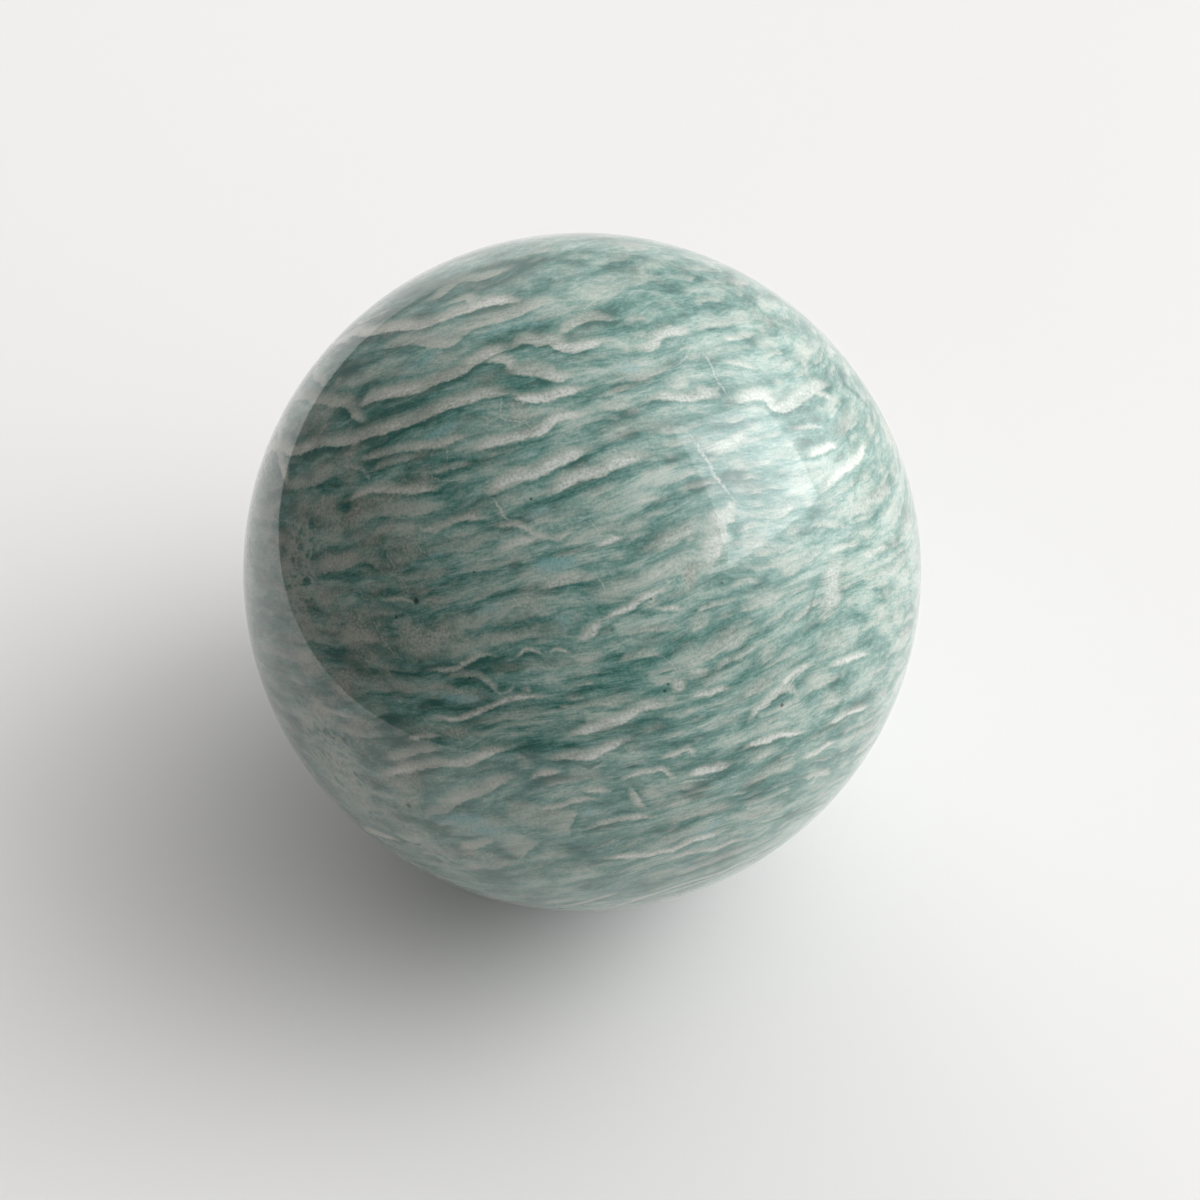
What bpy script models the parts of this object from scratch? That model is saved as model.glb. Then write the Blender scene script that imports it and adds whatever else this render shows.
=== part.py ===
"""Polished amazonite sphere: one stone ball with a small flat spot to rest on.

Metres, +Z up. The origin is the centre of the flat spot, which is the lowest point of the ball.
"""

import math

import bpy

# Driving dimensions
DIAMETER = 0.080
RADIUS = DIAMETER / 2
REST_RADIUS = 0.0065
REST_EDGE_RADIUS = 0.0025

# How finely the turned shape is divided
TURN_STEPS = 96
UPPER_ARC_STEPS = 22
LOWER_ARC_STEPS = 20
EDGE_ARC_STEPS = 4

# The stone's plain material
STONE_COLOUR = (0.16, 0.37, 0.32, 1.0)
STONE_ROUGHNESS = 0.14
STONE_METALLIC = 0.0

COLLECTION_NAME = "Amazonite sphere"
STONE_NAME = "amazonite_sphere"
MERGE_DISTANCE = 0.00001


def clear_scene():
    """Removes whatever the file holds, so that the ball stands alone."""
    for old in list(bpy.data.objects):
        bpy.data.objects.remove(old)


def arc_points(centre_x, centre_z, radius, start, end, steps):
    """Points on an arc in the XZ plane, from the angle start to the angle end, both from +Z."""
    points = []
    for step in range(steps + 1):
        angle = start + (end - start) * step / steps
        x = centre_x + radius * math.sin(angle)
        z = centre_z + radius * math.cos(angle)
        points.append((x, 0.0, z))
    return points


def ball_profile():
    """Half the ball's outline at +X, from the top pole down to the centre of the flat spot.

    The edge arc lies inside the ball and touches both the ball's arc and the flat spot, so the
    polish runs round onto the flat spot with no sharp rim. A point on the ball's equator keeps
    its full diameter.
    """
    equator = math.pi / 2
    edge_reach = RADIUS - REST_EDGE_RADIUS
    edge_angle = math.pi - math.asin(REST_RADIUS / edge_reach)
    ball_centre_z = REST_EDGE_RADIUS - edge_reach * math.cos(edge_angle)
    upper = arc_points(0.0, ball_centre_z, RADIUS, 0.0, equator, UPPER_ARC_STEPS)
    lower = arc_points(0.0, ball_centre_z, RADIUS, equator, edge_angle, LOWER_ARC_STEPS)
    edge = arc_points(
        REST_RADIUS, REST_EDGE_RADIUS, REST_EDGE_RADIUS, edge_angle, math.pi, EDGE_ARC_STEPS
    )
    rest_centre = (0.0, 0.0, 0.0)
    return upper + lower[1:] + edge[1:] + [rest_centre]


def make_material():
    material = bpy.data.materials.new("Polished amazonite")
    material.use_nodes = True
    shader = material.node_tree.nodes["Principled BSDF"]
    shader.inputs["Base Color"].default_value = STONE_COLOUR
    shader.inputs["Roughness"].default_value = STONE_ROUGHNESS
    shader.inputs["Metallic"].default_value = STONE_METALLIC
    material.diffuse_color = STONE_COLOUR
    return material


def make_ball(collection):
    """Turns the profile about Z into the closed ball."""
    outline = ball_profile()
    edges = [(i, i + 1) for i in range(len(outline) - 1)]
    mesh = bpy.data.meshes.new(STONE_NAME)
    mesh.from_pydata(outline, edges, [])
    ball = bpy.data.objects.new(STONE_NAME, mesh)
    collection.objects.link(ball)

    turn = ball.modifiers.new("Turn about Z", "SCREW")
    turn.axis = "Z"
    turn.angle = math.tau
    turn.steps = TURN_STEPS
    turn.render_steps = TURN_STEPS
    turn.use_merge_vertices = True
    turn.merge_threshold = MERGE_DISTANCE
    turn.use_smooth_shade = True

    mesh.materials.append(make_material())
    return ball


def main():
    clear_scene()
    collection = bpy.data.collections.new(COLLECTION_NAME)
    bpy.context.scene.collection.children.link(collection)
    make_ball(collection)


main()
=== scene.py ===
import math

import bmesh
import bpy
import numpy as np
from mathutils import Matrix, Vector


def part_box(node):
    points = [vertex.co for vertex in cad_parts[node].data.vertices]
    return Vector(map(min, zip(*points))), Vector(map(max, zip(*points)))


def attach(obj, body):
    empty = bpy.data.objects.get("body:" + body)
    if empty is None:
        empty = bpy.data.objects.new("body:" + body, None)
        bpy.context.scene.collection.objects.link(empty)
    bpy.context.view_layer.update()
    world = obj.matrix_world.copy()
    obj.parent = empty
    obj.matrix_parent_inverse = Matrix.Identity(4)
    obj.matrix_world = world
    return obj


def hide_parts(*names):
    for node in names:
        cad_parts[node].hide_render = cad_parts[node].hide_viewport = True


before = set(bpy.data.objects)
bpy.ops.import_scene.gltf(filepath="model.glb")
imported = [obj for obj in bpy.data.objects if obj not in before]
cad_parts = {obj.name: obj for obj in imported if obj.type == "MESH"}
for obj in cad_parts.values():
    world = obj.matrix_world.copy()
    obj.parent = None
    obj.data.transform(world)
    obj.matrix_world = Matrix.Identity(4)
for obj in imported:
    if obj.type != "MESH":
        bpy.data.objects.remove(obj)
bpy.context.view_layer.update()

SEED = 20261

# The ball, read from the frame, in metres
STONE_NODE = "amazonite_sphere"
NODE_LOW, NODE_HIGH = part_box(STONE_NODE)
RADIUS = (NODE_HIGH.x - NODE_LOW.x) / 2
CENTRE = Vector((0.0, 0.0, NODE_HIGH.z - RADIUS))
REST_EDGE_RADIUS = 0.0025
MM = 0.001

# The photograph's frame and viewpoint, in its own pixels
PHOTO_SIZE = 1200
PHOTO_FOCAL = 1500
PHOTO_BALL_CENTRE = (583, 573)
PHOTO_BALL_RADIUS = 339
CAMERA_PITCH = math.radians(50)
SENSOR_WIDTH = 36.0

CAMERA_RIGHT = Vector((1, 0, 0))
CAMERA_FORWARD = Vector((0, math.cos(CAMERA_PITCH), -math.sin(CAMERA_PITCH)))
CAMERA_UP = Vector((0, math.sin(CAMERA_PITCH), math.cos(CAMERA_PITCH)))

# Fineness of the stone's mesh: squares along each side of the cube that it is blown up from
FACE_DIVISIONS = 122

# The planes of the stone's lamellae: the direction across them, before they bend
GRAIN_ACROSS = Vector((-0.253, 0.590, 0.767)).normalized()
GRAIN_ALONG = GRAIN_ACROSS.cross(-CAMERA_FORWARD).normalized()
GRAIN_THROUGH = GRAIN_ALONG.cross(GRAIN_ACROSS).normalized()

# Pale streaks read off the photograph. Each has its width, how pale it is and how dark the line under it
# is, and then its sharp lower edge, from left to right, in pixels
STREAKS = {
    "long_sweep": (12, 0.9, 0.9, [(310, 447), (345, 446), (370, 438), (395, 431), (415, 424), (430, 418),
        (445, 411), (465, 405), (480, 400), (500, 396), (520, 395)]),
    "bright_sweep": (12, 1.0, 0.6, [(350, 406), (362, 407), (372, 402), (400, 397), (420, 393),
        (440, 383), (460, 377), (475, 366), (490, 358), (510, 348), (520, 342)]),
    "far_left_dash": (5, 0.5, 0.2, [(383, 332), (410, 328)]),
    "soft_sweep": (12, 0.7, 0.4, [(376, 351), (397, 347), (413, 345), (430, 348), (447, 348), (457, 343),
        (468, 333), (480, 327), (502, 322), (520, 316), (540, 307), (567, 300)]),
    "rim_streak_high": (8, 0.6, 0.2, [(417, 305), (440, 298), (460, 283), (480, 281), (503, 273),
        (520, 265)]),
    "rim_streak_low": (7, 0.7, 0.4, [(440, 307), (460, 302), (465, 300), (472, 308), (487, 303),
        (503, 300), (520, 290)]),
    "rim_streak_short": (6, 0.6, 0.3, [(420, 330), (440, 323), (460, 315), (472, 311)]),
    "under_sweep": (8, 0.85, 0.4, [(353, 462), (380, 458), (400, 452), (420, 450), (440, 448), (460, 440),
        (478, 433)]),
    "bright_ramp": (10, 0.95, 0.5, [(462, 461), (468, 455), (480, 450), (495, 447), (520, 441),
        (540, 436), (550, 430), (560, 421), (580, 417), (593, 407)]),
    "left_loop": (14, 0.6, 0.4, [(283, 490), (300, 489), (318, 485), (330, 478), (345, 474)]),
    "left_loop_top": (4, 0.5, 0.2, [(340, 467), (357, 470), (367, 477), (368, 487)]),
    "under_ramp": (6, 0.6, 0.3, [(430, 475), (460, 468), (473, 465)]),
    "knot_tail": (8, 0.9, 0.5, [(480, 363), (502, 363), (508, 370), (520, 373), (544, 373)]),
    "small_dash": (5, 0.5, 0.2, [(380, 483), (397, 488)]),
    "top_scallop": (11, 0.9, 0.8, [(500, 353), (517, 347), (525, 343), (538, 347), (550, 345), (557, 350),
        (570, 353), (587, 350), (607, 343), (620, 341)]),
    "top_arc": (9, 0.8, 0.5, [(557, 337), (570, 330), (580, 325), (593, 321), (607, 321), (617, 320)]),
    "clump_edge": (9, 0.8, 0.3, [(627, 352), (655, 350), (665, 338), (687, 334), (690, 322)]),
    "middle_top": (10, 1.0, 0.4, [(505, 392), (522, 402), (540, 403), (560, 398), (580, 392),
        (593, 388)]),
    "middle_top_high": (14, 0.9, 0.6, [(500, 375), (517, 375), (540, 378), (560, 382), (575, 373),
        (578, 370)]),
    "ramp_low": (14, 0.95, 0.8, [(480, 495), (493, 495), (500, 490), (520, 482), (540, 478), (560, 467),
        (575, 460), (590, 452), (600, 445)]),
    "cloud_edge": (9, 0.9, 0.6, [(643, 402), (660, 400), (680, 402), (700, 401), (715, 395), (722, 385)]),
    "smear": (6, 0.6, 0.1, [(620, 460), (635, 458), (652, 455)]),
    "fracture_mass": (22, 0.75, 0.1, [(715, 578), (713, 567), (717, 560), (722, 553), (720, 547),
        (725, 543), (728, 537), (728, 525), (735, 520), (734, 512), (740, 506)]),
    "right_wave": (12, 0.85, 0.6, [(722, 402), (737, 403), (748, 402), (762, 400), (767, 405), (772, 410),
        (780, 413), (792, 410), (803, 403), (820, 391), (832, 385)]),
    "right_hook": (8, 0.9, 0.5, [(807, 458), (820, 455), (830, 450), (840, 447)]),
    "right_rise": (8, 0.9, 0.3, [(815, 497), (830, 488), (842, 477), (857, 465), (862, 458), (867, 445),
        (868, 437)]),
    "right_thin": (4, 0.7, 0.2, [(790, 430), (803, 430), (815, 428), (823, 430)]),
    "far_right_line": (5, 0.7, 0.3, [(722, 363), (742, 367), (752, 369), (758, 372)]),
    "far_right_line_high": (5, 0.7, 0.3, [(720, 340), (733, 341), (747, 338), (758, 335)]),
    "left_short": (8, 0.7, 0.4, [(370, 473), (383, 468), (400, 463), (412, 460), (420, 457)]),
    "left_bright": (8, 0.95, 0.8, [(340, 505), (360, 497), (373, 493), (387, 493), (400, 494), (420, 493),
        (433, 491), (440, 488), (448, 482)]),
    "left_broad": (12, 0.6, 0.3, [(353, 522), (373, 518), (400, 515), (413, 517), (433, 512),
        (453, 508)]),
    "left_ragged": (8, 0.8, 0.5, [(415, 520), (422, 532), (435, 532), (447, 527), (460, 522), (480, 520),
        (495, 520)]),
    "left_brown": (14, 0.55, 0.5, [(307, 577), (327, 573), (343, 570), (353, 565), (367, 563), (380, 568),
        (393, 567)]),
    "left_tail": (9, 0.5, 0.3, [(400, 582), (420, 580), (440, 577), (455, 572)]),
    "pit_line": (4, 0.8, 0.3, [(383, 601), (400, 601), (413, 603)]),
    "crack_lip": (5, 0.9, 1.0, [(423, 672), (430, 671), (440, 672), (452, 672), (460, 670), (467, 665),
        (480, 658), (490, 656), (500, 658)]),
    "crack_lip_middle": (4, 0.9, 0.8, [(518, 657), (527, 652), (533, 652), (540, 655)]),
    "crack_lip_end": (4, 0.8, 0.6, [(553, 653), (558, 651), (567, 653)]),
    "centre_long": (13, 0.9, 0.4, [(533, 497), (553, 495), (573, 485), (587, 480), (602, 477), (613, 470),
        (620, 468), (640, 461), (660, 458)]),
    "centre_arc": (6, 0.7, 0.4, [(480, 527), (500, 527), (517, 527), (527, 532), (538, 538), (560, 541),
        (570, 533), (580, 527), (590, 521)]),
    "centre_left": (8, 0.8, 0.5, [(497, 556), (510, 550), (520, 545), (540, 541)]),
    "centre_low": (10, 0.8, 0.4, [(540, 590), (553, 588), (563, 585), (577, 582), (600, 580)]),
    "centre_faint": (7, 0.5, 0.2, [(470, 605), (480, 600), (490, 595), (510, 588)]),
    "jagged": (7, 1.0, 0.6, [(600, 620), (610, 618), (620, 615), (632, 610), (640, 603), (652, 597),
        (662, 593), (670, 588)]),
    "jagged_tail": (5, 0.8, 0.5, [(655, 609), (660, 611), (682, 610)]),
    "centre_step": (12, 0.9, 0.6, [(580, 642), (593, 638), (598, 632), (602, 622)]),
    "centre_faint_low": (7, 0.6, 0.2, [(620, 638), (640, 633), (660, 632), (682, 627)]),
    "centre_faint_lower": (8, 0.6, 0.2, [(620, 663), (640, 658), (660, 657)]),
    "centre_spot": (6, 0.9, 0.2, [(598, 548), (610, 544), (622, 540)]),
    "centre_spot_high": (5, 0.8, 0.3, [(637, 505), (657, 500)]),
    "right_centre": (6, 0.7, 0.2, [(807, 531), (820, 527), (835, 528), (850, 528)]),
    "right_centre_low": (6, 0.7, 0.3, [(825, 557), (840, 550), (853, 547), (862, 543)]),
    "right_rim": (7, 0.8, 0.4, [(860, 558), (870, 557), (880, 552), (890, 548)]),
    "blob_tail": (7, 0.7, 0.3, [(787, 627), (803, 617), (813, 607), (830, 600)]),
    "right_low_bright": (6, 0.9, 0.3, [(827, 668), (840, 665), (860, 658), (870, 655)]),
    "right_fine": (5, 0.6, 0.2, [(763, 627), (780, 618), (787, 610)]),
    "right_step": (7, 0.9, 0.4, [(780, 690), (790, 680), (800, 673), (813, 665)]),
    "lens_top": (6, 0.7, 0.5, [(445, 679), (460, 677), (478, 678), (488, 685), (497, 693), (502, 697)]),
    "lens_rim": (5, 1.0, 0.6, [(423, 720), (440, 720), (455, 722), (470, 718), (480, 714), (490, 710),
        (503, 704), (520, 700), (540, 698), (557, 697)]),
    "left_low_line": (4, 0.6, 0.2, [(300, 702), (320, 710), (337, 715), (347, 718), (360, 720)]),
    "left_low_thin": (4, 0.8, 0.3, [(410, 740), (427, 738), (438, 737)]),
    "low_left_first": (8, 0.7, 0.4, [(380, 760), (397, 760), (410, 757), (423, 753), (447, 750)]),
    "low_left_second": (8, 0.95, 0.5, [(380, 777), (393, 775), (410, 773), (423, 770), (440, 767),
        (463, 767), (473, 765), (483, 760), (497, 753), (518, 747)]),
    "low_left_third": (10, 0.75, 0.4, [(425, 820), (433, 815), (447, 813), (463, 802), (480, 797),
        (497, 788), (510, 780), (520, 775)]),
    "low_left_down": (5, 0.5, 0.2, [(367, 792), (380, 797), (397, 800)]),
    "low_left_hook": (5, 0.6, 0.3, [(390, 827), (400, 837), (413, 843), (430, 842)]),
    "low_left_fourth": (6, 0.7, 0.3, [(460, 850), (480, 848), (497, 840)]),
    "knob_tail": (11, 1.0, 0.3, [(560, 742), (577, 736), (597, 732), (617, 727), (627, 722), (640, 713),
        (650, 710), (667, 707), (680, 702)]),
    "knob_right": (6, 0.9, 0.3, [(690, 700), (700, 697), (710, 696), (720, 692), (733, 689)]),
    "bottom_long": (9, 0.9, 0.5, [(540, 760), (560, 760), (580, 760), (593, 760), (603, 755), (617, 747),
        (627, 742), (640, 740)]),
    "bottom_tan": (6, 0.8, 0.2, [(533, 780), (540, 777), (550, 775), (560, 773)]),
    "bottom_dash": (6, 0.8, 0.4, [(583, 792), (593, 793), (607, 792)]),
    "bottom_first": (5, 0.8, 0.4, [(530, 812), (540, 811), (560, 808), (580, 802), (593, 800),
        (600, 802)]),
    "bottom_edge": (26, 0.6, 0.8, [(570, 834), (572, 824), (577, 812)]),
    "bottom_second": (5, 0.9, 0.4, [(582, 832), (593, 828), (617, 822), (643, 819), (660, 817)]),
    "bottom_step": (14, 0.6, 0.5, [(523, 859), (527, 852), (540, 843)]),
    "bottom_bright": (5, 1.0, 0.4, [(595, 862), (607, 860), (620, 859), (650, 857), (660, 854),
        (673, 852), (683, 847), (693, 842), (703, 840), (713, 837), (723, 832), (733, 828)]),
    "bottom_thin": (4, 0.8, 0.3, [(660, 865), (680, 857), (700, 853), (717, 850), (733, 843),
        (752, 838)]),
    "bottom_right_first": (5, 0.8, 0.3, [(660, 760), (670, 758), (680, 755), (688, 751), (693, 756)]),
    "bottom_right_bright": (8, 1.1, 0.5, [(687, 777), (700, 775), (715, 772), (727, 768), (733, 763)]),
    "bottom_right_low": (5, 0.8, 0.4, [(618, 783), (630, 778), (642, 775), (653, 773), (662, 772),
        (675, 782)]),
    "shell": (6, 0.8, 0.5, [(647, 807), (640, 798), (633, 788)]),
    "right_vein": (9, 0.9, 0.5, [(750, 723), (758, 712), (767, 707), (777, 697), (788, 692), (797, 697)]),
    "right_low_white": (6, 1.1, 0.5, [(740, 752), (750, 747), (760, 745), (770, 742), (780, 738),
        (790, 737), (807, 732)]),
    "far_right_low": (6, 1.0, 0.5, [(822, 728), (830, 725), (838, 722), (850, 715), (860, 712),
        (872, 705)]),
    "far_right_lower": (5, 0.9, 0.4, [(800, 760), (810, 758), (817, 755), (827, 747), (837, 742)]),
    "far_right_lowest": (5, 0.8, 0.3, [(800, 780), (817, 777), (830, 775)]),
}

# Hair-thin bright veins and cracks, in pixels: width, how pale, how dark the shadow beside it, and the path
HAIRS = {
    "fracture_line": (3.4, 0.9, 0.2, [(680, 427), (692, 437), (703, 455), (710, 463), (712, 472),
        (720, 482), (730, 495), (737, 502), (742, 508)]),
    "top_vein_left": (2.0, 0.7, 0.1, [(692, 345), (688, 352), (687, 357), (676, 366)]),
    "top_vein_right": (2.0, 0.8, 0.2, [(690, 345), (700, 350), (708, 360), (713, 370), (715, 377),
        (722, 387), (733, 402)]),
    "knot_hair": (1.6, 0.7, 0.2, [(501, 392), (501, 409), (503, 420), (517, 421), (537, 429)]),
    "ramp_hair": (1.6, 0.7, 0.2, [(603, 453), (615, 450), (620, 453), (621, 463)]),
    "left_squiggle": (1.8, 0.5, 0.2, [(340, 503), (322, 512), (325, 530)]),
    "left_crack": (1.8, 0.6, 0.2, [(415, 535), (418, 547), (425, 553), (435, 560)]),
    "left_scratch": (2.0, 0.6, 0.2, [(387, 555), (390, 560), (395, 568)]),
    "left_knob": (2.5, 0.6, 0.3, [(356, 590), (360, 590), (363, 598), (370, 600)]),
    "left_hook": (2.2, 0.6, 0.4, [(353, 613), (357, 623), (363, 627), (370, 622)]),
    "patch_rim": (2.4, 0.55, 0.3, [(368, 608), (370, 617), (378, 630), (383, 640), (393, 652), (400, 658),
        (408, 662)]),
    "upright_hair": (1.4, 0.5, 0.1, [(447, 450), (447, 463)]),
    "cross_hair": (1.4, 0.5, 0.1, [(425, 475), (440, 480), (460, 480)]),
    "knot_vein": (2.4, 0.9, 0.2, [(493, 500), (500, 507), (503, 515), (508, 520)]),
    "arc_drop": (1.8, 0.7, 0.2, [(590, 521), (594, 526), (598, 532)]),
    "centre_curl": (1.8, 0.6, 0.1, [(600, 580), (603, 585), (605, 592)]),
    "centre_hook": (2.2, 0.7, 0.2, [(513, 597), (520, 605), (527, 607)]),
    "fork": (1.8, 0.7, 0.2, [(665, 658), (673, 665), (677, 673)]),
    "highlight_hair": (1.6, 0.7, 0.1, [(752, 493), (759, 492), (766, 493)]),
    "blob_crack": (1.8, 0.1, 0.45, [(820, 580), (813, 597), (808, 617), (807, 627)]),
    "right_crack": (1.6, 0.1, 0.7, [(600, 762), (590, 767), (583, 765)]),
    "bottom_crack": (1.8, 0.1, 0.9, [(520, 752), (528, 756), (540, 757)]),
    "vein_up": (2.4, 0.8, 0.2, [(788, 690), (793, 680), (800, 673), (807, 667)]),
    "bottom_right_hair": (2.0, 0.9, 0.2, [(680, 783), (690, 781), (710, 779)]),
    "right_low_hair": (2.0, 0.8, 0.2, [(783, 712), (793, 707), (800, 704)]),
    "lens_vein": (2.0, 0.5, 0.2, [(497, 693), (508, 692), (516, 680)]),
}

# Soft-edged patches, in pixels: the place, half its length and width, its slope in degrees and its strength
DEEP_PATCHES = {
    "wedge": ((578, 463), 17, 6, 25, 1.0), "centre": ((585, 513), 12, 6, 8, 1.0),
    "centre_left": ((515, 565), 8, 6, 10, 0.9), "centre_hole": ((528, 519), 6, 4, 20, 0.9),
    "jag_left": ((610, 630), 7, 6, 0, 0.9), "jag_under": ((648, 615), 10, 4, 0, 0.9),
    "jag_low": ((654, 628), 8, 4, 0, 0.8), "right_of_jag": ((698, 609), 9, 4, 20, 0.9),
    "near_fracture": ((700, 485), 12, 7, 15, 0.9), "beside_fracture": ((737, 538), 17, 9, 80, 1.0),
    "top_first": ((575, 262), 16, 5, 3, 0.7), "top_second": ((550, 280), 7, 3, 5, 0.6),
    "top_third": ((610, 267), 11, 3, 0, 0.6), "high_first": ((617, 389), 8, 6, 10, 0.9),
    "high_second": ((606, 398), 7, 4, 10, 0.8), "high_third": ((626, 414), 14, 5, 8, 0.8),
    "high_fourth": ((629, 434), 12, 6, 15, 0.9), "high_fifth": ((672, 462), 9, 7, 20, 0.8),
    "high_sixth": ((713, 330), 9, 6, 0, 0.9), "high_seventh": ((535, 382), 20, 6, 5, 0.7),
    "right_first": ((851, 390), 7, 5, 20, 0.8), "right_second": ((825, 420), 9, 5, 25, 0.8),
    "right_third": ((805, 441), 9, 5, 25, 0.8), "right_fourth": ((840, 457), 8, 4, 30, 0.9),
    "right_fifth": ((830, 478), 10, 5, 35, 0.8), "right_sixth": ((760, 582), 14, 5, 30, 0.6),
    "low_first": ((698, 790), 15, 7, 10, 1.0), "low_second": ((725, 776), 9, 3, 10, 0.9),
    "low_third": ((708, 760), 8, 3, 10, 0.8), "low_fourth": ((633, 766), 8, 3, 0, 0.8),
    "low_fifth": ((581, 717), 8, 9, 0, 0.8), "low_sixth": ((571, 747), 10, 4, 5, 0.8),
    "low_seventh": ((746, 744), 24, 7, 18, 1.0), "low_eighth": ((754, 780), 17, 7, 15, 0.9),
    "low_ninth": ((837, 711), 8, 5, 25, 0.9), "low_tenth": ((837, 679), 9, 5, 25, 1.0),
    "lens_shadow": ((425, 709), 16, 4, -4, 0.9), "lens_side": ((486, 700), 7, 6, 50, 0.7),
    "left_first": ((335, 455), 26, 5, 4, 0.6), "left_second": ((385, 443), 24, 4, 15, 0.7),
    "left_third": ((350, 515), 12, 8, 30, 0.7), "left_fourth": ((345, 577), 30, 6, 3, 0.7),
    "left_fifth": ((375, 540), 18, 8, 10, 0.7), "upper_first": ((430, 425), 14, 5, 22, 0.7),
    "upper_second": ((420, 318), 20, 7, 22, 0.5), "upper_third": ((525, 262), 18, 4, 20, 0.5),
    "middle_left": ((455, 485), 14, 6, 10, 0.6), "under_crack": ((505, 668), 20, 6, 8, 0.7),
}
BLUE_PATCHES = {
    "centre": ((556, 563), 24, 10, 8, 1.0), "low_left_of_centre": ((487, 610), 20, 8, 14, 0.8),
    "bottom_left": ((467, 822), 32, 13, 10, 0.8), "bottom": ((590, 813), 12, 5, 5, 0.7),
    "bottom_right": ((711, 826), 12, 4, 15, 0.6), "lens": ((452, 697), 28, 9, 8, 0.9),
    "top": ((628, 366), 15, 9, 0, 0.9), "below_centre": ((563, 622), 14, 8, 15, 0.6),
    "above_centre": ((540, 510), 16, 5, 25, 0.5), "upper_left": ((440, 430), 26, 7, 18, 0.6),
    "upper_left_high": ((505, 330), 34, 8, 20, 0.5), "upper_left_far": ((415, 365), 26, 8, 14, 0.5),
    "centre_high": ((530, 455), 16, 7, 20, 0.5), "left": ((440, 555), 18, 7, 15, 0.5),
    "right": ((700, 835), 16, 4, 12, 0.5),
}
PALE_PATCHES = {
    "top_clump_first": ((625, 348), 11, 9, 30, 0.9), "top_clump_second": ((641, 335), 11, 8, 30, 0.8),
    "top_clump_third": ((672, 328), 16, 7, 5, 0.9), "top_cloud": ((710, 393), 14, 9, 10, 0.9),
    "top_cloud_left": ((668, 396), 12, 5, 0, 0.7), "fracture_cloud": ((722, 446), 20, 9, 20, 0.9),
    "fracture_cloud_high": ((738, 436), 14, 9, 40, 0.8), "wave_blob": ((818, 393), 15, 6, 18, 0.9),
    "upright_vein": ((802, 355), 12, 5, 60, 0.5), "far_right": ((738, 302), 14, 10, 0, 0.5),
    "ragged_end": ((410, 527), 9, 8, 0, 0.7), "fracture_knob": ((731, 508), 13, 8, 70, 1.0),
    "jag_knob": ((651, 602), 12, 7, 20, 0.9), "white_blob": ((832, 592), 34, 15, 64, 1.3),
    "white_blob_low": ((822, 618), 12, 8, 60, 0.7), "knob": ((679, 688), 11, 8, 70, 1.2),
    "knob_mass": ((671, 698), 15, 9, 20, 1.0), "small_mass": ((565, 707), 11, 5, 5, 0.7),
    "small_knob": ((527, 690), 6, 5, 0, 0.8), "lens_knot": ((508, 692), 6, 5, 0, 0.8),
    "knot": ((508, 368), 9, 6, -20, 0.9), "knot_high": ((512, 366), 8, 6, 0, 0.8),
    "shell": ((650, 792), 14, 12, 0, 0.45), "low_clump": ((675, 823), 6, 5, 0, 0.7),
    "bright_bit": ((590, 753), 13, 7, 10, 0.8), "lens_pale": ((699, 672), 12, 4, 3, 0.8),
    "fracture_haze": ((703, 553), 22, 20, 60, 0.45), "centre_clump": ((501, 512), 8, 8, 0, 0.7),
    "bottom_block": ((558, 826), 14, 12, 60, 0.5), "high_dash": ((572, 315), 9, 4, 5, 0.7),
}
TAN_PATCHES = {
    "smooth_brown": ((425, 640), 48, 24, 4, 1.0), "crack_side": ((440, 600), 34, 14, 5, 0.5),
    "beside_fracture": ((690, 572), 17, 11, 75, 0.9), "left_brown": ((340, 560), 32, 9, 5, 0.9),
    "below_crack": ((450, 690), 34, 10, 5, 0.5), "bottom_tan": ((547, 773), 16, 4, 10, 1.0),
    "left_low": ((352, 640), 16, 30, 0, 0.7), "left_side": ((330, 600), 120, 200, 0, 0.3),
}

# Mottled places where the pale streaks break up into a net
NET_PATCHES = {
    "left": ((300, 565), 26, 75, 0, 1.0), "low_left": ((335, 765), 60, 45, -30, 1.0),
    "lower": ((430, 850), 60, 20, -25, 0.6),
}

# Pits in the polish, drawn only as dark spots of painted shade, in pixels: the place and the width
PITS = {
    "deepest": ((416, 601), 8), "centre": ((531, 499), 3), "tail": ((474, 572), 3), "left": ((396, 617), 4),
    "lens": ((470, 678), 3), "knob_first": ((665, 691), 4), "knob_second": ((668, 684), 3),
    "vein": ((782, 705), 4), "low_left": ((409, 806), 5), "jag": ((651, 599), 3), "low": ((722, 583), 3),
}


def photo_ray(pixel):
    """The direction in which the photograph's camera sees a pixel."""
    across = (pixel[0] - PHOTO_SIZE / 2) / PHOTO_FOCAL
    down = (pixel[1] - PHOTO_SIZE / 2) / PHOTO_FOCAL
    return (CAMERA_FORWARD + CAMERA_RIGHT * across - CAMERA_UP * down).normalized()


BALL_DISTANCE = RADIUS / math.sin(math.atan(PHOTO_BALL_RADIUS / PHOTO_FOCAL))
CAMERA_PLACE = CENTRE - photo_ray(PHOTO_BALL_CENTRE) * BALL_DISTANCE
TOWARD_CAMERA = (CAMERA_PLACE - CENTRE).normalized()


def on_ball(pixel):
    """The unit vector from the ball's centre to the place on its surface that a pixel shows."""
    ray = photo_ray(pixel)
    offset = CAMERA_PLACE - CENTRE
    along = ray.dot(offset)
    inside = along * along - offset.length_squared + RADIUS * RADIUS
    travel = -along - math.sqrt(max(inside, 0.0))
    return (offset + ray * travel).normalized()


def mirrored_at(pixel):
    """The direction in which the polish reflects the camera's view of a pixel."""
    ray = photo_ray(pixel)
    normal = on_ball(pixel)
    return ray - normal * (2 * ray.dot(normal))


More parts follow.
